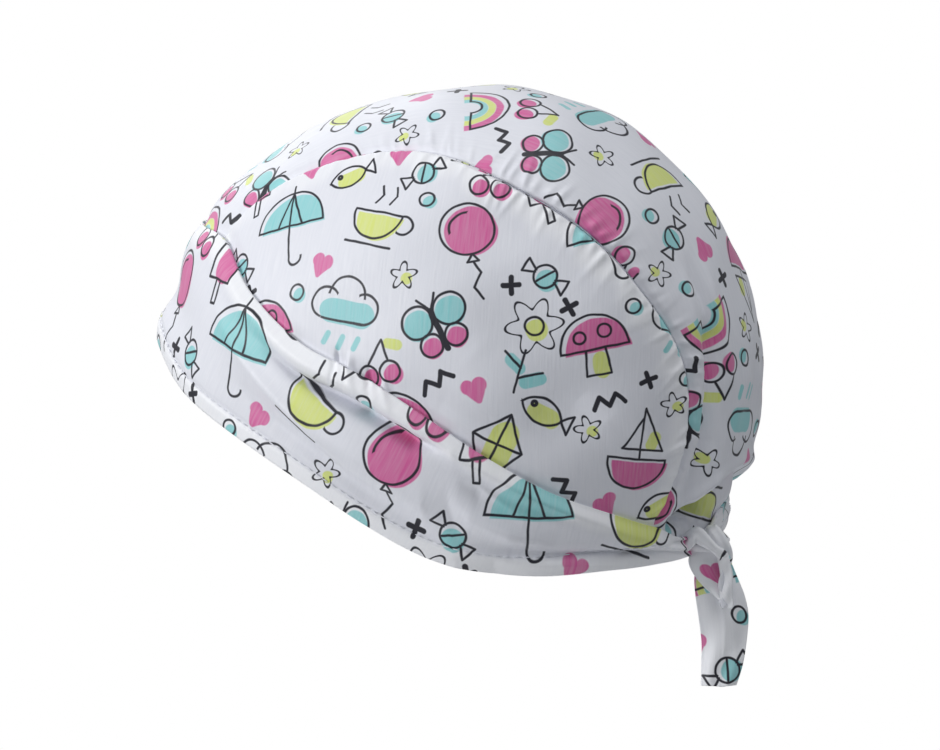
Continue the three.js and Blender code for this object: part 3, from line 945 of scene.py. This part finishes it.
MOTIFS = {
    "umbrella": [
        *patch(0, 1, 12, "teal", UP),
        *arc(0, 1, 12.5, UP),
        *pen((-12.5, 1), (12.5, 1)),
        *pen((-4.6, 1), (0, 13.5), (4.6, 1)),
        *pen((0, 16), (0, -10)),
        *arc(2.4, -10, 2.4, DOWN),
    ],
    "balloon": [
        *patch(0, 5, 8, "pink"),
        *arc(0, 5, 8.2),
        *arc(0, 5, 5.4, 135, 3.6),
        *pen((-1.7, -5.6), (0, -3.2), (1.7, -5.6), (-1.7, -5.6)),
        *pen((0, -5.6), (1.8, -9.5), (-1, -13.5), (0.8, -17)),
    ],
    "daisy": [
        *patch(0, 7, 3.4, "lime"),
        *petals(0, 7, 6.8, 6, 1.8),
        *arc(0, 7, 2.8),
        *pen((0.3, -0.6), (1.2, -13)),
        *pen((2.4, -8.4), (6, -6), dye="teal", half=2),
        *pen((1, -9), (7.4, -5)),
        *pen((-0.4, -5.4), (-4, -3.6), dye="teal", half=1.7),
        *pen((0.8, -6), (-5.2, -3)),
    ],
    "mushroom": [
        *patch(0, 0, 10.2, "pink", UP),
        *arc(0, 0, 10.5, UP),
        *pen((-10.5, 0), (10.5, 0)),
        *arc(-4.2, 4, 1.7),
        *arc(3.4, 5, 2),
        *pen((-3, 0), (-3.8, -8), (3.6, -8), (3, 0)),
        *pen((-0.2, -2.4), (-0.2, -6), dye="lime", half=2.4),
    ],
    "kite": [
        *pen((0, 7), (0, -1), dye="lime", half=4),
        *pen((0, 12), (7.5, 3), (0, -11), (-7.5, 3), (0, 12), (0, -11)),
        *pen((-7.5, 3), (7.5, 3)),
        *pen((0, -11), (2.4, -15), (-1, -19)),
        *patch(2.4, -15, 1.6, "pink"),
        *patch(-1, -19, 1.6, "pink"),
    ],
    "cloud": [
        *pen((-5, -1), (6, -1), dye="teal", half=3.6),
        *arc(-6, 0, 4.6, 150, -1.2),
        *arc(0.6, 2.6, 6, UP, 0.6),
        *arc(7, 0, 4.4, 15, -1),
        *pen((-6.4, -4.6), (7.4, -4.4)),
        *pen((-4, -7.6), (-5, -10.4), dye="teal", half=0.9),
        *pen((1, -8), (0, -11), dye="teal", half=0.9),
        *pen((6, -7.6), (5, -10.4), dye="teal", half=0.9),
    ],
    "rainbow": [
        *arc(0, -4, 9.6, UP, 0, "pink", 1.1),
        *arc(0, -4, 7.3, UP, 0, "lime", 1.1),
        *arc(0, -4, 5, UP, 0, "teal", 1.1),
        *arc(0, -4, 11.4, UP),
        *arc(0, -4, 3.4, UP),
        *pen((-11.4, -4), (-3.4, -4)),
        *pen((3.4, -4), (11.4, -4)),
    ],
    "butterfly": [
        *patch(5, 3.6, 4.4, "teal"),
        *patch(3.8, -4, 3, "pink"),
        *arc(5, 3.6, 4.6),
        *arc(3.8, -4, 3.2),
        *pen((0, 5), (0, -6.5), half=0.9),
        *pen((0, 5), (2.8, 9.5)),
    ],
    "teacup": [
        *patch(0, 2, 8.2, "lime", DOWN),
        *arc(0, 2, 8.5, DOWN),
        *pen((-8.5, 2), (8.5, 2)),
        *arc(9.6, -0.8, 3, 0, -1.2),
        *pen((-8, -8.5), (8, -8.5)),
        *pen((-2.6, 5), (-1.2, 8), (-2.6, 11)),
        *pen((2.4, 5), (3.8, 8), (2.4, 11)),
    ],
    "sailboat": [
        *patch(0, -3, 9.2, "pink", DOWN),
        *arc(0, -3, 9.5, DOWN),
        *pen((-9.5, -3), (9.5, -3)),
        *pen((2.6, 2.6), (3.6, 5), dye="lime", half=2),
        *pen((0, -3), (0, 13), (8, 0), (0, 0), (-6, 0), (0, 10)),
    ],
    "ice_lolly": [
        *pen((0, 4), (0, 8), dye="pink", half=4),
        *arc(0, 8, 4.8, UP),
        *pen((4.8, 8), (4.8, 0), (-4.8, 0), (-4.8, 8)),
        *pen((-1, 0), (-1, -7), (1, -7), (1, 0)),
    ],
    "fish": [
        *pen((-2.6, 0), (2.4, 0), dye="lime", half=2.6),
        *arc(0, -4, 7.6, UP, 4),
        *arc(0, 4, 7.6, DOWN, 4),
        *pen((6.2, 0), (9.4, 2.8), (9.4, -2.8), (6.2, 0)),
        *arc(-3, 1, 0.6, half=0.5),
    ],
    "cherries": [
        *patch(-3.2, -3.4, 2.9, "pink"),
        *patch(3.6, -2.6, 2.9, "pink"),
        *arc(-3.2, -3.4, 3),
        *arc(3.6, -2.6, 3),
        *pen((-3, -0.4), (1.6, 6.4), (3.4, 0.4)),
        *pen((2.4, 6.2), (5.4, 5.4), dye="lime", half=1.5),
    ],
    "sweet": [
        *patch(0, 0, 3.4, "teal"),
        *arc(0, 0, 3.6),
        *pen((-3.4, 0.4), (-7, 2.6), (-7, -2.2), (-3.4, -0.4)),
        *pen((3.4, 0.4), (7, 2.2), (7, -2.6), (3.4, -0.4)),
        *pen((-1.6, -2.6), (1.6, 2.8)),
    ],
    "heart": [
        *patch(1.75, 1.5, 2.1, "pink"),
        *pen((2.4, 0.7), (0, -2.8), dye="pink", half=0.9),
        *pen((0.8, 0.6), (0, -1.2), dye="pink", half=1.1),
    ],
    "star": [
        *patch(0, 0, 1.7, "lime"),
        *petals(0, 0, 3, 5, 1.1),
    ],
    "cross": [
        *pen((-2.4, 0), (2.4, 0), half=0.8),
        *pen((0, -2.4), (0, 2.4), half=0.8),
    ],
    "bubble": [
        *patch(0, 0, 2.2, "teal"),
        *arc(0, 0, 2.3),
    ],
    "zigzag": pen((-5, -1.5), (-2.5, 1.5), (0, -1.5), (2.5, 1.5), (5, -1.5), half=0.7),
}
MIRRORED = ("butterfly", "heart")

# The repeat: where each motif stands, in millimetres, and its turn in degrees
REPEAT = 124
MOTIF_SCALE = 1.2
LAYOUT = table(
    "motif x y turn",
    ("umbrella", 18, 104, 14),
    ("teacup", 56, 108, -10),
    ("balloon", 92, 100, 16),
    ("daisy", 114, 64, -20),
    ("butterfly", 84, 70, 28),
    ("cloud", 48, 76, -8),
    ("mushroom", 15, 64, 12),
    ("sailboat", 31, 26, -12),
    ("rainbow", 68, 38, 18),
    ("kite", 103, 28, -26),
    ("ice_lolly", 118, 118, 20),
    ("heart", 37, 91, -14),
    ("heart", 97, 50, 20),
    ("heart", 58, 12, 8),
    ("star", 70, 87, 0),
    ("star", 12, 35, 15),
    ("star", 84, 12, -10),
    ("cross", 35, 52, 20),
    ("cross", 108, 86, 5),
    ("cross", 5, 79, 30),
    ("bubble", 50, 52, 0),
    ("bubble", 74, 116, 0),
    ("bubble", 75, 22, 0),
    ("zigzag", 84, 52, 35),
    ("zigzag", 4, 14, -60),
    ("fish", 38, 2, 24),
    ("fish", 120, 42, -30),
    ("cherries", 97, 2, -12),
    ("cherries", 63, 57, 8),
    ("sweet", 70, 3, 34),
    ("sweet", 120, 90, -28),
    ("heart", 18, 7, 24),
    ("star", 45, 42, 10),
    ("cross", 53, 23, 12),
    ("bubble", 28, 80, 0),
    ("zigzag", 20, 45, 12),
)
DYES = {"teal": "#8fd3d6", "lime": "#dbe57e", "pink": "#d9609f"}
INK = "#20202b"
DYE_SHIFT = (1.1, -0.9)
DYE_EDGE = 0.35
INK_EDGE = 0.25
HAND_WOBBLE = 0.5
HAND_WAVE = 7

# Two shades across the ribs, of single cloth and of double cloth. The double cloth's whiter shades are
# painted light: less of the shade inside shows through where cloth lies double, and the same shades over
# the whole knot and ties stand for light glowing through thin cloth
SINGLE_CLOTH = ("#e1e3ec", "#ecedf4")
PAINTED_LIGHT_DOUBLE_CLOTH = ("#eff0f6", "#f8f9fc")
# Threads lie 0.4 mm apart in the cloth; the ribs are drawn twice as wide, so that they show
RIB_WIDE = 0.9
RIB_LONG = 14
RIB_DEEP = 0.00012
# Most of the ribs' noise lies between these
RIB_RANGE = {"From Min": 0.3, "From Max": 0.7}


def shades(pair):
    """The two colours of a mix, dark then light."""
    dark, light = pair
    return {FIRST: linear(dark), SECOND: linear(light)}


def ribs_of(tree, places):
    """Fine uneven ribs of the weave, running up the cloth."""
    drawn_out = node(
        tree, "Mapping", {"Vector": places, "Scale": (1 / RIB_WIDE, 1 / RIB_LONG, 1)}, vector_type="POINT"
    )[0]
    return node(tree, "TexNoise", {"Vector": drawn_out, "Scale": 1, "Detail": 2})[0]


def round_cut(tree, from_middle, away, row):
    """Cuts a round off along a straight line, where its row says so."""
    if row.keep is None:
        return away
    angle = math.radians(row.keep)
    back = (-math.cos(angle), -math.sin(angle), 0)
    past = node(tree, "VectorMath", {0: from_middle, 1: back}, operation="DOT_PRODUCT")["Value"]
    cut = node(tree, "Math", {0: past, 1: row.off}, operation="ADD")[0]
    return node(tree, "Math", {0: away, 1: cut}, operation="MAXIMUM")[0]


def line_away(tree, place, row):
    """Distance from a straight stroke's middle line, less what its pen is wider than the common one."""
    run = Vector((row.x1 - row.x0, row.y1 - row.y0, 0))
    from_start = node(tree, "VectorMath", {0: place, 1: (row.x0, row.y0, 0)}, operation="SUBTRACT")[0]
    share = node(
        tree, "VectorMath", {0: from_start, 1: run / run.length_squared}, operation="DOT_PRODUCT"
    )["Value"]
    held = node(tree, "Clamp", {0: share})[0]
    nearest = node(tree, "VectorMath", {0: run, "Scale": held}, operation="SCALE")[0]
    return node(tree, "VectorMath", {0: from_start, 1: nearest}, operation="DISTANCE")["Value"]


def round_away(tree, place, row):
    """Distance from the edge of a round stroke or patch, cut where its row says so."""
    from_middle = node(tree, "VectorMath", {0: place, 1: (row.x, row.y, 0)}, operation="SUBTRACT")[0]
    radius = node(tree, "VectorMath", {0: from_middle}, operation="LENGTH")["Value"]
    away = node(tree, "Math", {0: radius, 1: row.radius}, operation="SUBTRACT")[0]
    if isinstance(row, Arc):
        away = node(tree, "Math", {0: away}, operation="ABSOLUTE")[0]
    return round_cut(tree, from_middle, away, row)


def petals_away(tree, place, row):
    """Distance from a ring of petals, each a wave of the ring's radius."""
    from_middle = node(tree, "VectorMath", {0: place, 1: (row.x, row.y, 0)}, operation="SUBTRACT")[0]
    radius = node(tree, "VectorMath", {0: from_middle}, operation="LENGTH")["Value"]
    parts = node(tree, "SeparateXYZ", {0: from_middle})
    angle = node(tree, "Math", {0: parts[0], 1: parts[1]}, operation="ARCTAN2")[0]
    turns = node(tree, "Math", {0: angle, 1: row.count}, operation="MULTIPLY")[0]
    wave = node(tree, "Math", {0: turns}, operation="COSINE")[0]
    edge = node(tree, "Math", {0: wave, 1: row.depth, 2: row.radius}, operation="MULTIPLY_ADD")[0]
    away = node(tree, "Math", {0: radius, 1: edge}, operation="SUBTRACT")[0]
    return node(tree, "Math", {0: away}, operation="ABSOLUTE")[0]


def motif_place(tree, place, row):
    """Place within the motif's own frame, repeated over the cloth."""
    half = REPEAT / 2
    wrapped = node(
        tree,
        "VectorMath",
        {0: place, 1: (row.x + half, row.y + half, 1), 2: (row.x - half, row.y - half, -1)},
        operation="WRAP",
    )[0]
    turned = node(
        tree,
        "Mapping",
        {
            "Vector": wrapped,
            "Location": (row.x, row.y, 0),
            "Rotation": (0, 0, math.radians(row.turn)),
            "Scale": (MOTIF_SCALE,) * 3,
        },
        vector_type="TEXTURE",
    )[0]
    if row.motif not in MIRRORED:
        return turned
    other = node(tree, "VectorMath", {0: turned, 1: (-1, 1, 1)}, operation="MULTIPLY")[0]
    return node(tree, "VectorMath", {0: turned, 1: other}, operation="MAXIMUM")[0]


def print_distances(tree, place):
    """Distance from the nearest stroke of ink and from the nearest patch of each dye, in millimetres."""
    nearest = {}
    for row in LAYOUT:
        local = motif_place(tree, place, row)
        for stroke in MOTIFS[row.motif]:
            dye = getattr(stroke, "dye", "ink")
            if dye != "ink":
                shift = {"x": 0 if row.motif in MIRRORED else DYE_SHIFT[0], "y": DYE_SHIFT[1]}
                places = [name for name in stroke._fields if name[0] in shift]
                moved = {name: getattr(stroke, name) + shift[name[0]] for name in places}
                stroke = stroke._replace(**moved)
            if isinstance(stroke, Line):
                away = line_away(tree, local, stroke)
            elif isinstance(stroke, Petals):
                away = petals_away(tree, local, stroke)
            else:
                away = round_away(tree, local, stroke)
            common = PEN if dye == "ink" else 0
            wider = getattr(stroke, "pen", common) - common
            if wider:
                away = node(tree, "Math", {0: away, 1: wider}, operation="SUBTRACT")[0]
            if dye in nearest:
                away = node(tree, "Math", {0: away, 1: nearest[dye]}, operation="MINIMUM")[0]
            nearest[dye] = away
    return nearest


def printed_cotton():
    """Screen-printed cotton satin: matt dyes, dark pen lines and a soft sheen over fine ribs."""
    material, tree = new_material("printed_cotton_satin")
    places = node(tree, "TexCoord", {})["UV"]
    wave = node(tree, "TexNoise", {"Vector": places, "Scale": 1 / HAND_WAVE, "Detail": 1})[1]
    hand = node(
        tree, "VectorMath", {0: wave, 1: (2 * HAND_WOBBLE,) * 3, 2: places}, operation="MULTIPLY_ADD"
    )[0]
    flat = node(tree, "VectorMath", {0: hand, 1: (1, 1, 0)}, operation="MULTIPLY")[0]
    nearest = print_distances(tree, flat)

    ribs = ribs_of(tree, places)
    single, double = (
        node(tree, "Mix", {SHARE: ribs, **shades(pair)}, data_type="RGBA")[MIXED]
        for pair in (SINGLE_CLOTH, PAINTED_LIGHT_DOUBLE_CLOTH)
    )
    # Share painted lighter: real double cloth at hems and turnings, and the whole knot and ties as
    # painted light
    painted_light_share = node(tree, "Attribute", {}, attribute_name="Double")["Fac"]
    colour = node(tree, "Mix", {SHARE: painted_light_share, FIRST: single, SECOND: double}, data_type="RGBA")[MIXED]
    brush = node(tree, "MapRange", {"Value": ribs, **RIB_RANGE, "To Min": 0.82, "To Max": 1})[0]
    for dye, tint in DYES.items():
        edge = node(
            tree,
            "Math",
            {0: nearest[dye], 1: -1 / DYE_EDGE, 2: 0.5},
            operation="MULTIPLY_ADD",
            use_clamp=True,
        )[0]
        share = node(tree, "Math", {0: edge, 1: brush}, operation="MULTIPLY")[0]
        over = {SHARE: share, FIRST: colour, SECOND: linear(tint)}
        colour = node(tree, "Mix", over, data_type="RGBA")[MIXED]
    drawn = node(
        tree,
        "Math",
        {0: nearest["ink"], 1: -1 / INK_EDGE, 2: 0.5 + PEN / INK_EDGE},
        operation="MULTIPLY_ADD",
        use_clamp=True,
    )[0]
    over = {SHARE: drawn, FIRST: colour, SECOND: linear(INK)}
    colour = node(tree, "Mix", over, data_type="RGBA")[MIXED]
    bump = node(tree, "Bump", {"Height": ribs, "Strength": 0.6, "Distance": RIB_DEEP})[0]
    rough = node(tree, "MapRange", {"Value": ribs, **RIB_RANGE, "To Min": 0.6, "To Max": 0.46})[0]
    shader = node(
        tree,
        "BsdfPrincipled",
        {
            "Base Color": colour,
            "Normal": bump,
            "Roughness": rough,
            "IOR": 1.5,
            "Sheen Weight": 0.15,
            "Sheen Roughness": 0.4,
        },
    )
    node(tree, "OutputMaterial", {"Surface": shader[0]})
    return material


def plain_cotton():
    """Reverse of the printed cotton: bleached white and dull, with the ribs of the weave."""
    material, tree = new_material("bleached_cotton_reverse")
    places = node(tree, "TexCoord", {})["UV"]
    ribs = ribs_of(tree, places)
    colour = node(tree, "Mix", {SHARE: ribs, **shades(SINGLE_CLOTH)}, data_type="RGBA")[MIXED]
    bump = node(tree, "Bump", {"Height": ribs, "Strength": 0.6, "Distance": RIB_DEEP})[0]
    shader = node(
        tree, "BsdfPrincipled", {"Base Color": colour, "Normal": bump, "Roughness": 0.8, "IOR": 1.5}
    )
    node(tree, "OutputMaterial", {"Surface": shader[0]})
    return material


THREAD_SHADES = ("#d9dbe6", "#f4f5fa")
PLY_SCALE = 0.5
PLY_DEEP = 0.00005


def sewing_thread():
    """Spun polyester thread: white, a little glossy, its plies showing as slanting bands."""
    material, tree = new_material("spun_polyester_thread")
    places = node(tree, "TexCoord", {})["UV"]
    plies = node(tree, "TexWave", {"Vector": places, "Scale": PLY_SCALE}, bands_direction="DIAGONAL")[0]
    colour = node(tree, "Mix", {SHARE: plies, **shades(THREAD_SHADES)}, data_type="RGBA")[MIXED]
    rough = node(tree, "MapRange", {"Value": plies, "To Min": 0.5, "To Max": 0.35})[0]
    bump = node(tree, "Bump", {"Height": plies, "Strength": 0.5, "Distance": PLY_DEEP})[0]
    shader = node(
        tree, "BsdfPrincipled", {"Base Color": colour, "Normal": bump, "Roughness": rough, "IOR": 1.55}
    )
    node(tree, "OutputMaterial", {"Surface": shader[0]})
    return material


PAPER_SHADES = ("#eeeeee", "#f6f6f6")
FIBRES_PER_METRE = 250


def pale_paper():
    """Studio paper: dull, very pale, with a faint fibre mottle."""
    material, tree = new_material("matt_studio_paper")
    places = node(tree, "TexCoord", {})["Object"]
    fibres = node(tree, "TexNoise", {"Vector": places, "Scale": FIBRES_PER_METRE, "Detail": 2})[0]
    colour = node(tree, "Mix", {SHARE: fibres, **shades(PAPER_SHADES)}, data_type="RGBA")[MIXED]
    rough = node(tree, "MapRange", {"Value": fibres, "To Min": 0.95, "To Max": 0.85})[0]
    shader = node(tree, "BsdfPrincipled", {"Base Color": colour, "Roughness": rough, "IOR": 1.5})
    node(tree, "OutputMaterial", {"Surface": shader[0]})
    return material


PRINTED = printed_cotton()
REVERSE = plain_cotton()
THREAD = sewing_thread()
PAPER = pale_paper()


# Pieces

PRINT_SHIFT = {
    "crown": (40, 10),
    "left_side": (78, 44),
    "right_side": (20, 70),
    "band": (96, 100),
    "knot": (48, 23),
    "long_tie": (60, 44),
    "short_tie": (50, 20),
}


def knot_piece():
    points, places, faces = [], [], []
    for rows in (KNOT_LUMP, KNOT_TURN, KNOT_FAR_END):
        rings, print_places = strip_points(rows)
        faces += closed_strip(rings, sum(len(part) for part in points))
        points.append(rings.reshape(-1, 3))
        places.append(print_places.reshape(-1, 2) + PRINT_SHIFT["knot"])
    points = np.concatenate(points)
    # The whole knot gets the double cloth's lighter shades: painted light, for light glowing through the
    # thin cloth
    return piece_of("knot", points, faces, np.concatenate(places), [PRINTED], np.ones(len(points)))


def hem_stitches():
    """Row of thread dashes along the band's hem, each a thin spindle lying on the cloth."""
    turn = np.linspace(-RIGHT_END, LEFT_END, HEM_SAMPLES)
    top, rim, _ = band_edges(turn)
    line = band_face(turn, np.minimum(HEM / (top - rim), HEM_HIGHEST))
    line = line + outward(line) * STITCH_RAISE
    along = lengths_along(line)
    points, places, faces = [], [], []
    for middle in np.arange(STITCH_STEP, along[-1] - STITCH_STEP, STITCH_STEP):
        reach_along = middle + np.linspace(-0.5, 0.5, STITCH_STEPS) * STITCH_LONG
        path = np.stack([np.interp(reach_along, along, line[:, axis]) for axis in range(3)], -1)
        out = outward(path)
        run = path[-1] - path[0]
        across = np.cross(run / np.linalg.norm(run), out)
        taper = np.sqrt(1 - np.linspace(-STITCH_END, STITCH_END, STITCH_STEPS) ** 2)
        thick = STITCH_THICK / 2 * taper[:, None, None]
        angle = np.linspace(0, 2 * math.pi, STITCH_SIDES + 1)[None, :-1, None]
        rings = path[:, None] + thick * (across[:, None] * np.cos(angle) + out[:, None] * np.sin(angle))
        faces += closed_strip(rings, sum(len(part) for part in points))
        points.append(rings.reshape(-1, 3))
        around, down = np.meshgrid(angle[0, :, 0], reach_along)
        places.append(np.stack([down, around], -1).reshape(-1, 2))
    return piece_of("hem_stitches", np.concatenate(points), faces, np.concatenate(places), [THREAD])


crown_points, crown_places, seam_line = crown_grid()
single = np.zeros(crown_points.shape[:2])
crown = cloth_piece("crown", crown_points, crown_places, single, plain_edges=True)
left_side = cloth_piece("left_side", *side_grid(seam_line, 1), plain_edges=True)
right_side = cloth_piece("right_side", *side_grid(seam_line, -1), plain_edges=True)
band = cloth_piece("band", *band_grid())
knot = knot_piece()
long_tie = cloth_piece("long_tie", *tie_grid(LONG_TIE), wall=TIE_WALL)
short_tie = cloth_piece("short_tie", *tie_grid(SHORT_TIE), wall=TIE_WALL)
stitches = hem_stitches()
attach(stitches, "root")

for piece, cad_node in (
    (crown, "crown_panel"),
    (left_side, "side_panel_left"),
    (right_side, "side_panel_right"),
    (band, "brow_band"),
    (knot, "tie_knot"),
    (long_tie, "tie_tail_long"),
    (short_tie, "tie_tail_short"),
):
    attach(piece, "root")
    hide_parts(cad_node)


# Camera, floor and light

def add_camera():
    settings = bpy.data.cameras.new("camera")
    settings.sensor_width = SENSOR_WIDE
    settings.lens = SENSOR_WIDE * CAMERA_AWAY * PIXELS_PER_MM / FRAME_WIDE
    settings.shift_x = (FRAME_WIDE / 2 - ORIGIN_ACROSS) / FRAME_WIDE
    settings.shift_y = (ORIGIN_DOWN - FRAME_HIGH / 2) / FRAME_WIDE
    camera = bpy.data.objects.new("camera", settings)
    turned = Matrix((IMAGE_RIGHT, IMAGE_UP, TO_CAMERA)).transposed()
    camera.matrix_world = Matrix.Translation(TO_CAMERA * CAMERA_AWAY * MM) @ turned.to_4x4()
    bpy.context.collection.objects.link(camera)
    bpy.context.scene.camera = camera


# Soft lamps, in metres and watts, and the studio's light from all round, from low to high
LIGHTS = table(
    "name place size power",
    ("front", (0.84, -1, 0.35), 0.6, 10.7),
    ("top", (0.35, 0.06, 1.31), 0.6, 6.2),
    ("back", (-0.17, 0.95, 0.96), 1, 2.1),
    ("right", (-0.9, -0.8, 0.6), 0.8, 4),
)
AROUND = {"From Min": -0.5, "From Max": 0.9, "To Min": 0.2, "To Max": 0.3}
AROUND_TINT = (0.93, 0.965, 1, 1)


def add_light(name, place, size, power):
    lamp = bpy.data.lights.new(name, "AREA")
    lamp.size = size
    lamp.energy = power
    light = bpy.data.objects.new(name, lamp)
    light.location = place
    light.rotation_euler = (-Vector(place)).to_track_quat("-Z", "Y").to_euler()
    bpy.context.collection.objects.link(light)


# Pale round floor under the cap, small enough to stay below the photograph's frame
FLOOR_DOWN = 420
FLOOR_RADIUS = 560
FLOOR_SIDES = 96


def add_floor():
    angle = np.linspace(0, 2 * math.pi, FLOOR_SIDES + 1)[:-1]
    rim = np.stack([np.cos(angle), np.sin(angle), 0 * angle], -1) * FLOOR_RADIUS - (0, 0, FLOOR_DOWN)
    floor = piece_of("floor", rim, [range(FLOOR_SIDES)], rim[:, :2], [PAPER])


def add_world():
    """White studio: plain white behind the cap, and a softer light from all round."""
    world = bpy.data.worlds.new("studio")
    world.use_nodes = True
    tree = world.node_tree
    tree.nodes.clear()
    seen = node(tree, "LightPath", {})["Is Camera Ray"]
    heading = node(tree, "TexCoord", {})["Generated"]
    rise = node(tree, "SeparateXYZ", {0: heading})[2]
    strength = node(tree, "MapRange", {"Value": rise, **AROUND})[0]
    around = node(tree, "Background", {"Color": AROUND_TINT, "Strength": strength})[0]
    behind = node(tree, "Background", {"Color": (1, 1, 1, 1), "Strength": 1})[0]
    sky = node(tree, "MixShader", {0: seen, 1: around, 2: behind})[0]
    node(tree, "OutputWorld", {"Surface": sky})
    bpy.context.scene.world = world


add_camera()
add_floor()
add_world()
for row in LIGHTS:
    add_light(*row)
bpy.context.scene.view_settings.view_transform = "Standard"
